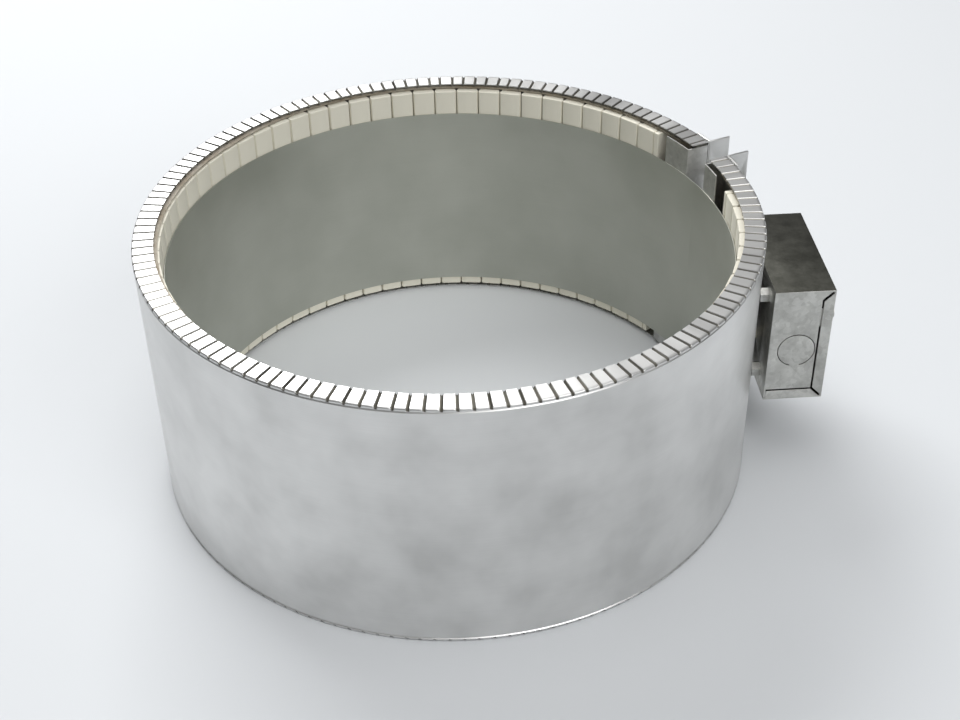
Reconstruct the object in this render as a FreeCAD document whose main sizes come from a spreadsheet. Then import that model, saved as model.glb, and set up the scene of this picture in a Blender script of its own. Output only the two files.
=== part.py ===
import FreeCAD, Part
import math
import os
from FreeCAD import Placement, Rotation, Vector

# Ceramic band heater for a barrel, die head or mould.
# Millimetres. The origin is the centre of the bore at mid-width, +Z runs along the
# bore and +X points at the middle of the terminal box.

doc = FreeCAD.newDocument("BandHeater")
sheet = doc.addObject("Spreadsheet::Sheet", "Sizes")

drivingSizes = [
    # jacket
    ("heater_width", 178.0, "rim to rim, along the bore"),
    ("jacket_sheet", 0.7, "stainless sheet of the jacket"),
    ("flange_width", 13.5, "how far the fluted rims turn in"),
    ("flute_count", 138, "flutes around each rim"),
    ("flute_depth", 1.6, "depth of a flute at the outer corner"),
    ("flute_share", 0.26, "part of the pitch that the flute takes"),
    # gap
    ("gap_azimuth", 20.5, "degrees from the terminal box to the middle of the gap"),
    ("gap_width", 22.0, "between the two ends, at the outside"),
    # liner
    ("bore_radius", 182.5, "inside of the liner, which bears on the barrel"),
    ("liner_sheet", 0.5, "sheet of the liner"),
    ("liner_top_inset", 22.5, "from the upper rim down to the liner"),
    ("liner_bottom_inset", 10.5, "from the lower rim up to the liner"),
    ("liner_seam", 3.0, "open seam of the liner"),
    ("liner_seam_azimuth", 270.0, "degrees from the terminal box to the seam"),
    # ceramic mat
    ("knuckle_columns", 66, "columns of knuckles around the mat"),
    ("mat_end_angle", 15.0, "degrees from the middle of the gap to the last full column"),
    ("end_knuckle_angle", 1.3, "degrees that a half knuckle takes at each end"),
    ("knuckle_rows", 4, "rows of knuckles across the width"),
    ("knuckle_thickness", 12.0, "from the inner face to the back"),
    ("knuckle_back", 10.4, "width of a knuckle at its back"),
    ("knuckle_groove", 1.6, "width of the groove between two inner faces"),
    ("knuckle_shoulder", 2.2, "depth of that groove"),
    ("joint_play", 0.2, "between neighbouring knuckles"),
    ("liner_play", 0.2, "between the liner and the knuckles"),
    ("mat_top_inset", 5.0, "from the upper rim down to the mat"),
    ("mat_bottom_inset", 4.0, "from the lower rim up to the mat"),
    ("coil_diameter", 4.0, "outside of the wound resistance wire"),
    ("coil_link", 1.1, "height of the coil where it turns over a knuckle"),
    # insulation
    ("blanket_thickness", 3.3, "blanket behind the mat"),
    ("blanket_play", 0.4, "between the blanket and what it touches"),
    ("blanket_lip", 1.1, "blanket folded over the top of the mat"),
    ("blanket_lip_overlap", 8.5, "how far the folded edge reaches over the mat"),
    ("blanket_end_angle", 8.0, "degrees from the middle of the gap to the blanket"),
    # folded sheets that close the two ends
    ("end_sheet", 0.8, "sheet of the end channels"),
    ("end_lap_left", 24.0, "inner leg of the left end channel"),
    ("end_lap_right", 17.0, "inner leg of the right end channel"),
    ("end_outer_leg", 12.0, "leg against the jacket"),
    ("end_inset", 2.6, "from the rims to the end channels"),
    # clamp
    ("ear_height", 16.0, "how far the clamp ears stand out of the jacket"),
    ("ear_foot", 15.0, "foot of an ear along the jacket"),
    ("ear_sheet", 1.5, "plate of the ears"),
    ("screw_standoff", 9.0, "from the jacket out to the clamp screws"),
    ("screw_inset", 27.0, "from each rim to its clamp screw"),
    ("screw_diameter", 6.0, "shank"),
    ("screw_length", 35.0, "under the head"),
    ("head_across_flats", 10.0, "hexagon of head and nut"),
    ("head_thickness", 4.0, "screw head"),
    ("nut_thickness", 5.0, "weld nut"),
    ("washer_radius", 6.0, "outside of the washer"),
    ("washer_thickness", 1.6, "washer"),
    ("seat_play", 0.05, "under the washer and under the screw head"),
    ("thread_play", 0.05, "radial play of the screw in nut and washer"),
    ("ear_hole_play", 0.5, "radial play of the screw in the ears"),
    # terminal box
    ("box_standoff", 4.0, "between the jacket and the back of the box"),
    ("box_depth", 39.4, "radially"),
    ("box_length", 96.0, "along the tangent"),
    ("box_tall", 85.5, "along the bore"),
    ("box_rise", 5.4, "middle of the box above the middle of the heater"),
    ("box_sheet", 1.2, "galvanised sheet"),
    ("cover_strip", 7.0, "strip of the cover folded over an end"),
    ("cover_seam", 1.2, "open seam between cover and body"),
    ("knockout_radius", 12.5, "conduit knock-out in one end"),
    ("knockout_slit", 0.5, "slit around the knock-out"),
    ("knockout_tie", 6.0, "tie that holds the knock-out"),
    ("knockout_out", 18.2, "knock-out centre from the back of the box"),
    ("knockout_drop", 3.2, "knock-out centre below the middle of the box"),
    # box fixings and terminals
    ("stud_diameter", 4.0, "studs that carry the box"),
    ("stud_spacing_y", 60.0, "between studs along the box"),
    ("stud_spacing_z", 60.0, "between studs up the box"),
    ("spacer_half_flats", 4.5, "hexagonal spacer between jacket and box"),
    ("stud_nut_thickness", 3.2, "nuts inside the box"),
    ("cover_screw_radius", 1.8, "cover screws"),
    ("cover_screw_length", 9.0, "cover screws"),
    ("block_length", 44.0, "terminal block along the box"),
    ("block_tall", 20.0, "terminal block up the box"),
    ("block_depth", 14.0, "terminal block out of the box's back"),
    ("block_rise", 16.0, "block above the middle of the box"),
    ("pole_spacing", 24.0, "between the two terminals"),
    ("pole_radius", 2.5, "terminal stud"),
    ("pole_length", 9.0, "terminal stud above the block"),
    ("lead_spacing", 24.0, "between the two lead bushings"),
    ("lead_drop", 12.0, "bushings below the middle of the box"),
    ("bushing_radius", 4.5, "ceramic bushing"),
    ("bushing_inside", 6.0, "bushing past the back wall of the box"),
    ("lead_radius", 1.4, "insulated lead"),
]

for row, (alias, value, meaning) in enumerate(drivingSizes, start=1):
    sheet.set("A%d" % row, meaning)
    sheet.set("B%d" % row, str(value))
    sheet.setAlias("B%d" % row, alias)

# Sizes that follow from the driving ones.
derivedSizes = [
    ("half_width", "heater_width / 2"),
    ("liner_outside", "bore_radius + liner_sheet"),
    ("mat_inside", "liner_outside + liner_play"),
    ("mat_outside", "mat_inside + knuckle_thickness"),
    ("blanket_inside", "mat_outside + blanket_play"),
    ("blanket_outside", "blanket_inside + blanket_thickness"),
    ("jacket_inside", "blanket_outside + blanket_play"),
    ("outer_radius", "jacket_inside + jacket_sheet"),
    ("rim_inside", "outer_radius - flange_width"),
    ("screw_radius_at", "outer_radius + screw_standoff"),
    ("screw_height", "half_width - screw_inset"),
    ("mat_top", "half_width - mat_top_inset"),
    ("mat_bottom", "mat_bottom_inset - half_width"),
    ("box_back", "outer_radius + box_standoff"),
    ("box_front", "box_back + box_depth"),
    ("box_top", "box_rise + box_tall / 2"),
    ("box_bottom", "box_rise - box_tall / 2"),
    ("box_end", "box_length / 2"),
]
for row, (alias, formula) in enumerate(derivedSizes, start=len(drivingSizes) + 2):
    sheet.set("A%d" % row, alias.replace("_", " "))
    sheet.set("B%d" % row, "=" + formula)
    sheet.setAlias("B%d" % row, alias)
doc.recompute()


def size(alias):
    return float(sheet.get(alias))


def count(alias):
    return int(round(size(alias)))


# ---------------------------------------------------------------- helpers

def primitive(kind, name, **formulas):
    """A Part primitive whose properties are bound to the sheet."""
    thing = doc.addObject(kind, name)
    for prop, formula in formulas.items():
        thing.setExpression(prop, formula)
    return thing


def place(thing, x="0", y="0", z="0"):
    for axis, formula in zip("xyz", (x, y, z)):
        thing.setExpression("Placement.Base." + axis, formula)
    return thing


def cut(name, base, tool):
    result = doc.addObject("Part::Cut", name)
    result.Base, result.Tool = base, tool
    return result


def fuse(name, *things):
    result = doc.addObject("Part::MultiFuse", name)
    result.Shapes = list(things)
    return result


def feature(name, shape, turn=0.0):
    """A piece built from Part's own functions, turned about the bore axis."""
    thing = doc.addObject("Part::Feature", name)
    thing.Shape = shape
    thing.Placement = Placement(Vector(), Rotation(Vector(0, 0, 1), turn))
    return thing


def facet(*corners):
    return Part.Face(Part.makePolygon(list(corners) + [corners[0]]))


def polar(radius, degrees, z=0.0):
    angle = math.radians(degrees)
    return Vector(radius * math.cos(angle), radius * math.sin(angle), z)


def bent_strip(inner, outer, start, end, bottom, top):
    """A curved strip of sheet about the bore axis, between two angles."""
    middle = (start + end) / 2
    near = [polar(inner, angle, bottom) for angle in (start, middle, end)]
    far = [polar(outer, angle, bottom) for angle in (end, middle, start)]
    outline = Part.Wire([Part.Arc(*near).toShape(), Part.makeLine(near[2], far[0]),
                         Part.Arc(*far).toShape(), Part.makeLine(far[2], near[0])])
    return Part.Face(outline).extrude(Vector(0, 0, top - bottom))


def prism(corners, bottom, top):
    base = facet(*[Vector(corner.x, corner.y, bottom) for corner in corners])
    return base.extrude(Vector(0, 0, top - bottom))


def box_between(low, high):
    return Part.makeBox(*(high - low), low)


def gap_half_angle():
    return math.degrees(math.asin(size("gap_width") / 2 / size("outer_radius")))


# ---------------------------------------------------------------- outer jacket

def fluted_jacket():
    """One sheet, rolled round and turned in at both rims.

    The turned-in rims are crimped: flat lands with V flutes between them, and each
    flute runs out through the corner. All flutes point at the axis, so every wall of
    a flute is a plane and the sheet keeps one thickness.
    """
    flutes = count("flute_count")
    start = size("gap_azimuth") + gap_half_angle()
    pitch = (360.0 - 2 * gap_half_angle()) / flutes
    half = pitch * size("flute_share") / 2
    outer, inside, rim = size("outer_radius"), size("jacket_inside"), size("rim_inside")
    top, under = size("half_width"), size("half_width") - size("jacket_sheet")
    slope = size("flute_depth") / outer
    shrink = math.cos(math.radians(half))

    # stations around the rim: (angle, is it the bottom of a flute)
    stations = [(start, False)]
    for flute in range(flutes):
        middle = start + (flute + 0.5) * pitch
        stations += [(middle - half, False), (middle, True), (middle + half, False)]
    stations.append((start + flutes * pitch, False))

    def corner(station, radius, height, side):
        angle, low = station
        return polar(radius * (shrink if low else 1.0), angle,
                     side * (height - (slope * radius if low else 0.0)))

    faces = []
    for side in (1, -1):
        loop = [(outer, top), (rim, top), (rim, under), (inside, under)]
        for a, b in zip(stations, stations[1:]):
            for (r0, z0), (r1, z1) in zip(loop, loop[1:]):
                faces.append(facet(corner(a, r0, z0, side), corner(b, r0, z0, side),
                                   corner(b, r1, z1, side), corner(a, r1, z1, side)))
    for radius, height in ((outer, top), (inside, under)):
        first = 0
        while first < len(stations) - 1:
            last = first + (2 if stations[first + 1][1] else 1)
            run = stations[first:last + 1]
            faces.append(facet(*[corner(s, radius, height, 1) for s in run],
                               *[corner(s, radius, height, -1) for s in reversed(run)]))
            first = last
    section = [(outer, top), (rim, top), (rim, under), (inside, under)]
    for end in (stations[0], stations[-1]):
        faces.append(facet(*[corner(end, r, z, 1) for r, z in section],
                           *[corner(end, r, z, -1) for r, z in reversed(section)]))
    shell = Part.makeShell(faces)
    shell.sewShape()
    solid = Part.makeSolid(shell)
    if solid.Volume < 0:
        solid.reverse()
    for y in lead_places():
        solid = solid.cut(lead_hole(size("mat_outside"), y))
    return solid


def lead_places():
    return [side * size("lead_spacing") / 2 for side in (1, -1)]


def lead_height():
    return size("box_rise") - size("lead_drop")


def lead_hole(start, y):
    """Clearance hole for a bushing, from a radius outwards along +X."""
    radius = size("bushing_radius") + size("liner_play")
    return Part.makeCylinder(radius, size("box_depth"), Vector(start, y, lead_height()),
                             Vector(1, 0, 0))


feature("outer_jacket", fluted_jacket())


# ---------------------------------------------------------------- liner

def liner():
    """Smooth sheet on the inner faces of the knuckles, with one open seam."""
    opening = math.degrees(size("liner_seam") / size("bore_radius"))
    start = size("liner_seam_azimuth") + opening / 2
    return bent_strip(size("bore_radius"), size("liner_outside"), start,
                      start + 360.0 - opening,
                      size("liner_bottom_inset") - size("half_width"),
                      size("half_width") - size("liner_top_inset"))


feature("inner_liner", liner())


# ---------------------------------------------------------------- ceramic mat

def knuckle_outline(middle, first, last, narrow_back):
    """Plan of one knuckle between two angles from its column's middle.

    A shoulder near the bore meets the next knuckle, and behind it the sides draw in
    and leave a channel for the coil.
    """
    face, back = size("mat_inside"), size("mat_outside")
    shoulder = face + size("knuckle_shoulder")
    half_groove, half_joint = size("knuckle_groove") / 2, size("joint_play") / 2
    right, left = math.tan(math.radians(first)), math.tan(math.radians(last))
    pitch_tangent = math.tan(math.radians(column_pitch() / 2))
    draw = back * pitch_tangent - size("knuckle_back") / 2
    corners = [(face, face * right + half_groove), (shoulder, shoulder * right + half_joint),
               (back, back * right + draw), (back, back * left - draw),
               (shoulder, shoulder * left - half_joint), (face, face * left - half_groove)]
    if not narrow_back:
        corners = [corners[i] for i in (0, 2, 3, 5)]
    turn = Rotation(Vector(0, 0, 1), middle)
    return [turn.multVec(Vector(x, y, 0)) for x, y in corners]


def column_pitch():
    return (360.0 - 2 * size("mat_end_angle")) / count("knuckle_columns")


def column_middles():
    """Angle of every full column, counted from the left end of the gap."""
    start = size("gap_azimuth") + size("mat_end_angle")
    return [start + (i + 0.5) * column_pitch() for i in range(count("knuckle_columns"))]


def knuckle_row(row):
    """One row of the mat: the full knuckles and a half knuckle at each end."""
    rows = count("knuckle_rows")
    pitch = (size("mat_top") - size("mat_bottom")) / rows
    bottom = size("mat_bottom") + row * pitch + size("joint_play")
    top = size("mat_bottom") + (row + 1) * pitch
    shown = row in (0, rows - 1)
    half = column_pitch() / 2
    knuckles = [prism(knuckle_outline(middle, -half, half, shown), bottom, top)
                for middle in column_middles()]
    # Half knuckles stop the mat at its two ends.
    face, back = size("mat_inside"), size("mat_outside")
    play = math.degrees(size("joint_play") / face)
    for side in (1, -1):
        near = size("mat_end_angle") - play
        far = size("mat_end_angle") - size("end_knuckle_angle")
        ends = [size("gap_azimuth") + side * angle for angle in (near, far)]
        knuckles.append(prism([polar(face, ends[0]), polar(back, ends[0]),
                               polar(back, ends[1]), polar(face, ends[1])], bottom, top))
    return Part.makeCompound(knuckles)


for row in range(count("knuckle_rows")):
    feature("knuckle_row_%d" % (row + 1), knuckle_row(row))


# ---------------------------------------------------------------- heating coil

def coil_angles():
    """The channels between the columns, where the coil runs up and down."""
    middles = column_middles()
    return [(a + b) / 2 for a, b in zip(middles, middles[1:])]


def heating_coil():
    """The wound wire, drawn at its outside: runs in the channels, joined in turn
    over the top and under the bottom of the mat."""
    radius = size("mat_outside") - size("coil_diameter") / 2 - size("blanket_play")
    reach = size("coil_link")
    half = size("coil_diameter") / 2
    pieces = []
    angles = coil_angles()
    for angle in angles:
        middle = polar(radius, angle)
        corners = [middle + polar(half, angle + turn) for turn in range(0, 360, 60)]
        pieces.append(prism(corners, size("mat_bottom") - reach, size("mat_top") + reach))
    for number, (a, b) in enumerate(zip(angles, angles[1:])):
        low = size("mat_top") + size("joint_play")
        if number % 2:
            low = size("mat_bottom") - reach
        high = low + reach - size("joint_play")
        across = polar(half / 2, (a + b) / 2)
        pieces.append(prism([polar(radius, a) - across, polar(radius, a) + across,
                             polar(radius, b) + across, polar(radius, b) - across],
                            low, high))
    return pieces[0].multiFuse(pieces[1:]).removeSplitter()


feature("heating_coil", heating_coil())


# ---------------------------------------------------------------- insulation blanket

def insulation_blanket():
    """Fibre blanket behind the mat, its upper edge folded in over the knuckles."""
    play = size("blanket_play")
    start = size("gap_azimuth") + size("blanket_end_angle")
    end = start + 360.0 - 2 * size("blanket_end_angle")
    inner, outer = size("blanket_inside"), size("blanket_outside")
    bottom = size("mat_bottom")
    lip_top = size("half_width") - size("jacket_sheet") - size("flute_depth") - play / 2
    lip_bottom = lip_top - size("blanket_lip")
    sleeve = bent_strip(inner, outer, start, end, bottom, lip_top)
    lip = bent_strip(size("mat_outside") - size("blanket_lip_overlap"), inner + play,
                     start, end, lip_bottom, lip_top)
    blanket = sleeve.fuse(lip).removeSplitter()
    for y in lead_places():
        blanket = blanket.cut(lead_hole(size("mat_outside"), y))
    return blanket


feature("insulation_blanket", insulation_blanket())


# ---------------------------------------------------------------- end channels

def end_channel(side, lap):
    """Folded channel that closes one end: a leg on the inside, a wall across the end
    and a short leg against the jacket. Drawn with the middle of the gap on +X."""
    sheet_thickness = size("end_sheet")
    inner, outer = size("mat_inside"), size("jacket_inside") - size("blanket_play")
    bottom = size("end_inset") - size("half_width")
    top = size("half_width") - size("end_inset")
    wall = size("gap_width") / 2
    pieces = []
    for radius, reach in ((inner, lap), (outer - sheet_thickness, size("end_outer_leg"))):
        first = math.degrees(math.asin(wall / radius))
        angles = sorted([side * first, side * (first + math.degrees(reach / radius))])
        pieces.append(bent_strip(radius, radius + sheet_thickness, angles[0], angles[1],
                                 bottom, top))
    start = math.sqrt(inner ** 2 - wall ** 2)
    stop = math.sqrt(outer ** 2 - (wall + sheet_thickness) ** 2)
    sides = sorted([side * wall, side * (wall + sheet_thickness)])
    pieces.append(box_between(Vector(start, sides[0], bottom), Vector(stop, sides[1], top)))
    return pieces[0].multiFuse(pieces[1:]).removeSplitter()


feature("end_channel_left", end_channel(1, size("end_lap_left")), size("gap_azimuth"))
feature("end_channel_right", end_channel(-1, size("end_lap_right")), size("gap_azimuth"))


# ---------------------------------------------------------------- clamp ears

def clamp_ear(side):
    """Angle welded to the jacket at one end, with two holes for the clamp screws."""
    thickness, wall = size("ear_sheet"), size("gap_width") / 2
    root = size("outer_radius") + size("liner_play")
    half = size("half_width")
    first = math.degrees(math.asin(wall / root))
    angles = sorted([side * first, side * (first + math.degrees(size("ear_foot") / root))])
    foot = bent_strip(root, root + thickness, angles[0], angles[1], -half, half)
    start = math.sqrt(root ** 2 - wall ** 2)
    stop = size("outer_radius") + size("ear_height")
    sides = sorted([side * wall, side * (wall + thickness)])
    leg = box_between(Vector(start, sides[0], -half), Vector(stop, sides[1], half))
    ear = foot.fuse(leg).removeSplitter()
    for z in screw_heights():
        radius = size("screw_diameter") / 2 + size("ear_hole_play")
        ear = ear.cut(Part.makeCylinder(radius, 4 * wall,
                                        Vector(size("screw_radius_at"), -2 * wall, z),
                                        Vector(0, 1, 0)))
    return ear


def screw_heights():
    return [side * size("screw_height") for side in (1, -1)]


feature("clamp_ear_left", clamp_ear(1), size("gap_azimuth"))
feature("clamp_ear_right", clamp_ear(-1), size("gap_azimuth"))


# ---------------------------------------------------------------- clamp screws

def hexagon(name, thickness):
    """A hexagon of the head's size, standing on z = 0."""
    return primitive("Part::Prism", name, Polygon="6", Height=thickness,
                     Circumradius="Sizes.head_across_flats / 2 / cos(30 deg)")


def along_screw(thing, z_formula, seat):
    """Lay a turned part along the screw: its own Z becomes the tangent at the gap."""
    turn = Rotation(Vector(0, 0, 1), size("gap_azimuth")) * Rotation(Vector(1, 0, 0), -90)
    thing.Placement = Placement(Vector(), turn)
    azimuth = "Sizes.gap_azimuth * 1 deg"
    place(thing,
          "Sizes.screw_radius_at * cos(%s) - (%s) * sin(%s)" % (azimuth, seat, azimuth),
          "Sizes.screw_radius_at * sin(%s) + (%s) * cos(%s)" % (azimuth, seat, azimuth),
          z_formula)


earSeat = "Sizes.gap_width / 2 + Sizes.ear_sheet"
washerSeat = earSeat + " + Sizes.seat_play"
headSeat = washerSeat + " + Sizes.washer_thickness + Sizes.seat_play"
screwRadius = "Sizes.screw_diameter / 2"
for level, side in (("upper", "1"), ("lower", "-1")):
    heightFormula = side + " * Sizes.screw_height"
    shank = primitive("Part::Cylinder", "shank_" + level, Radius=screwRadius,
                      Height="Sizes.screw_length")
    place(shank, z="-Sizes.screw_length")
    screw = fuse("clamp_screw_" + level, shank,
                 hexagon("head_" + level, "Sizes.head_thickness"))
    along_screw(screw, heightFormula, headSeat)
    disc = primitive("Part::Cylinder", "washer_disc_" + level,
                     Radius="Sizes.washer_radius", Height="Sizes.washer_thickness")
    hole = primitive("Part::Cylinder", "washer_hole_" + level, Height="Sizes.washer_thickness",
                     Radius=screwRadius + " + Sizes.thread_play")
    washer = cut("clamp_washer_" + level, disc, hole)
    along_screw(washer, heightFormula, washerSeat)
    bore = primitive("Part::Cylinder", "nut_bore_" + level, Height="Sizes.nut_thickness",
                     Radius=screwRadius + " + Sizes.thread_play")
    nut = cut("clamp_nut_" + level, hexagon("nut_body_" + level, "Sizes.nut_thickness"), bore)
    along_screw(nut, heightFormula, "-(%s) - Sizes.nut_thickness" % earSeat)


# ---------------------------------------------------------------- terminal box

def end_panel_corners():
    """Outline of a body end, in x and z, with room for the cover's folded strips."""
    back, front = size("box_back"), size("box_front")
    top, bottom = size("box_top"), size("box_bottom")
    strip, seam = size("cover_strip"), size("cover_seam")
    return [(back, top), (front - seam, top), (front - strip - seam, top - strip),
            (front - strip - seam, bottom + strip + seam), (back, bottom + strip + seam)]


def knockout_slit():
    """Ring slit around the knock-out, open but for one tie at the bottom."""
    radius, slit = size("knockout_radius"), size("knockout_slit")
    depth = 4 * size("box_sheet")
    middle = Vector(size("box_back") + size("knockout_out"),
                    -size("box_end") - depth / 2, size("box_rise") - size("knockout_drop"))
    ring = Part.makeCylinder(radius, depth, middle, Vector(0, 1, 0)).cut(
        Part.makeCylinder(radius - slit, depth, middle, Vector(0, 1, 0)))
    tie = box_between(middle + Vector(-size("knockout_tie") / 2, 0, -2 * radius),
                      middle + Vector(size("knockout_tie") / 2, depth, 0))
    return ring.cut(tie)


def terminal_box_body():
    """Back, top and both ends of the box, folded from one sheet."""
    back, front, end = size("box_back"), size("box_front"), size("box_end")
    top, bottom, gauge = size("box_top"), size("box_bottom"), size("box_sheet")
    body = box_between(Vector(back, -end, bottom + gauge + size("liner_play")),
                       Vector(back + gauge, end, top))
    body = body.fuse(box_between(Vector(back, -end, top - gauge), Vector(front, end, top)))
    for side in (1, -1):
        outline = [Vector(x, side * end, z) for x, z in end_panel_corners()]
        panel = facet(*outline).extrude(Vector(0, -side * gauge, 0))
        body = body.fuse(panel)
    body = body.cut(knockout_slit())
    # holes for the bushings and for the four studs
    for y in lead_places():
        body = body.cut(lead_hole(size("jacket_inside"), y))
    for y, z in stud_places():
        body = body.cut(Part.makeCylinder(size("stud_diameter") / 2 + size("liner_play"),
                                          2 * size("box_standoff"),
                                          Vector(size("outer_radius"), y, z), Vector(1, 0, 0)))
    return body.removeSplitter()


def terminal_box_cover():
    """Front and bottom of the box, with mitred strips folded over the two ends."""
    back, front, end = size("box_back"), size("box_front"), size("box_end")
    top, bottom, gauge = size("box_top"), size("box_bottom"), size("box_sheet")
    strip, seam, play = size("cover_strip"), size("cover_seam"), size("liner_play")
    wall_top = top - gauge - play
    cover = box_between(Vector(front - gauge, -end, bottom), Vector(front, end, wall_top))
    cover = cover.fuse(box_between(Vector(back, -end, bottom), Vector(front, end, bottom + gauge)))
    upright = [(front, wall_top), (front, bottom + seam), (front - strip, bottom + strip + seam),
               (front - strip, wall_top - strip)]
    along_start = back + gauge + play
    along = [(along_start, bottom), (front - seam, bottom),
             (front - strip - seam, bottom + strip), (along_start, bottom + strip)]
    for side in (1, -1):
        for corners in (upright, along):
            outline = [Vector(x, side * end, z) for x, z in corners]
            cover = cover.fuse(facet(*outline).extrude(Vector(0, -side * gauge, 0)))
    for y, z in cover_screw_places():
        cover = cover.cut(Part.makeCylinder(size("cover_screw_radius") + play, 4 * gauge,
                                            Vector(front - 2 * gauge, y, z), Vector(1, 0, 0)))
    return cover.removeSplitter()


def stud_places():
    return [(i * size("stud_spacing_y") / 2, size("box_rise") + j * size("stud_spacing_z") / 2)
            for i in (1, -1) for j in (1, -1)]


def cover_screw_places():
    inset = size("cover_strip")
    return [(i * (size("box_end") - inset), size("box_rise") + size("box_tall") / 4)
            for i in (1, -1)]


feature("terminal_box_body", terminal_box_body())
feature("terminal_box_cover", terminal_box_cover())


def cover_tabs():
    """Tabs spot-welded inside the body ends, which the cover screws bite into."""
    gauge, play = size("box_sheet"), size("liner_play")
    radius = size("cover_screw_radius")
    tabs = []
    for y, z in cover_screw_places():
        side = 1 if y > 0 else -1
        front = size("box_front") - gauge - play
        wall = side * (size("box_end") - gauge)
        reach = side * (size("box_end") - gauge - 2.5 * size("cover_strip"))
        low, high = sorted([wall, reach])
        tab = box_between(Vector(front - gauge, low, z - 4 * radius),
                          Vector(front, high, z + 4 * radius))
        fold_end = wall - side * gauge
        low, high = sorted([wall, fold_end])
        deep = size("box_front") - size("cover_strip") - 3 * size("cover_strip")
        tab = tab.fuse(box_between(Vector(deep, low, z - 4 * radius),
                                   Vector(front, high, z + 4 * radius)))
        tabs.append(tab.cut(Part.makeCylinder(radius, 4 * gauge, Vector(front - 2 * gauge, y, z),
                                              Vector(1, 0, 0))).removeSplitter())
    return Part.makeCompound(tabs)


feature("cover_tabs", cover_tabs())


def round_parts(places, start, steps):
    """Turned parts along +X: each step is (radius, length), from a start."""
    parts = []
    for y, z in places:
        x = start
        turned = None
        for radius, length in steps:
            step = Part.makeCylinder(radius, length, Vector(x, y, z), Vector(1, 0, 0))
            turned = step if turned is None else turned.fuse(step)
            x += length
        parts.append(turned.removeSplitter())
    return Part.makeCompound(parts)


def rings(places, start, outer, inner, length):
    return Part.makeCompound([
        Part.makeCylinder(outer, length, Vector(start, y, z), Vector(1, 0, 0)).cut(
            Part.makeCylinder(inner, length, Vector(start, y, z), Vector(1, 0, 0)))
        for y, z in places])


def hexagonal_parts(places, start, half_flats, bore, length):
    """Bored hexagons along +X, with two flats facing along the tangent."""
    reach = half_flats / math.cos(math.radians(30))
    parts = []
    for y, z in places:
        corners = [Vector(start, y + reach * math.sin(math.radians(turn)),
                          z + reach * math.cos(math.radians(turn)))
                   for turn in range(0, 360, 60)]
        hole = Part.makeCylinder(bore, length, Vector(start, y, z), Vector(1, 0, 0))
        parts.append(facet(*corners).extrude(Vector(length, 0, 0)).cut(hole))
    return Part.makeCompound(parts)


screwLength, screwHead = size("cover_screw_length"), size("cover_screw_radius")
feature("cover_screws", round_parts(
    cover_screw_places(), size("box_front") - screwLength,
    [(screwHead, screwLength), (2 * screwHead, screwHead)]))

# The box stands off the hot jacket on four welded studs with spacers.
studRadius, boxBack = size("stud_diameter") / 2, size("box_back")
# A stud's foot meets the round jacket: it starts where the jacket passes its axis.
jacketAtStud = math.sqrt(size("outer_radius") ** 2
                         - (size("stud_spacing_y") / 2 - size("spacer_half_flats")) ** 2)
studLength = boxBack + size("box_sheet") + 1.5 * size("stud_nut_thickness") - jacketAtStud
feature("box_studs", round_parts(stud_places(), jacketAtStud, [(studRadius, studLength)]))
feature("box_spacers", hexagonal_parts(stud_places(), jacketAtStud, size("spacer_half_flats"),
                                       studRadius, boxBack - jacketAtStud))
feature("stud_nuts", hexagonal_parts(stud_places(), boxBack + size("box_sheet"),
                                     1.75 * studRadius, studRadius,
                                     size("stud_nut_thickness")))


# ---------------------------------------------------------------- terminals and leads

blockFace = boxBack + size("box_sheet")
blockMiddle = size("box_rise") + size("block_rise")
terminal_block = box_between(
    Vector(blockFace, -size("block_length") / 2, blockMiddle - size("block_tall") / 2),
    Vector(blockFace + size("block_depth"), size("block_length") / 2,
           blockMiddle + size("block_tall") / 2))
# a barrier rib between the two poles
terminal_block = terminal_block.fuse(box_between(
    Vector(blockFace, -size("box_sheet"), blockMiddle - size("block_tall") / 2),
    Vector(blockFace + size("block_depth") + size("pole_length"), size("box_sheet"),
           blockMiddle + size("block_tall") / 2))).removeSplitter()
feature("terminal_block", terminal_block)

polePlaces = [(side * size("pole_spacing") / 2, blockMiddle) for side in (1, -1)]
poleStart = blockFace + size("block_depth")
poleRadius, poleLength = size("pole_radius"), size("pole_length")
feature("terminal_poles", round_parts(polePlaces, poleStart, [(poleRadius, poleLength)]))
lugThickness = size("box_sheet")
feature("terminal_nuts", hexagonal_parts(polePlaces, poleStart + lugThickness,
                                         1.75 * poleRadius, poleRadius,
                                         0.6 * poleLength - lugThickness))

bushingPlaces = [(y, lead_height()) for y in lead_places()]
bushingStart = size("mat_outside") + size("blanket_play")
feature("lead_bushings", rings(bushingPlaces, bushingStart, size("bushing_radius"),
                               size("lead_radius") + size("thread_play"),
                               blockFace + size("bushing_inside") - bushingStart))


def lead_wires():
    """Insulated leads from the bushings to the poles, each ending in a ring lug."""
    radius = size("lead_radius")
    wires = []
    for (y, z), (pole_y, pole_z) in zip(bushingPlaces, polePlaces):
        corner = Vector(poleStart + radius, y, z)
        lug_bottom = pole_z - 3 * poleRadius
        run = Part.makeCylinder(radius, corner.x + radius - bushingStart,
                                Vector(bushingStart, y, z), Vector(1, 0, 0))
        rise = Part.makeCylinder(radius, lug_bottom + 2 * radius - z,
                                 corner - Vector(0, 0, radius), Vector(0, 0, 1))
        lug = Part.makeCylinder(1.75 * poleRadius, lugThickness, Vector(poleStart, pole_y, pole_z),
                                Vector(1, 0, 0))
        tail = box_between(Vector(poleStart, pole_y - radius, lug_bottom),
                           Vector(poleStart + lugThickness, pole_y + radius, pole_z))
        hole = Part.makeCylinder(poleRadius, 2 * lugThickness,
                                 Vector(poleStart - lugThickness / 2, pole_y, pole_z),
                                 Vector(1, 0, 0))
        wires.append(run.multiFuse([rise, lug, tail]).cut(hole).removeSplitter())
    return Part.makeCompound(wires)


feature("lead_wires", lead_wires())

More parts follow.
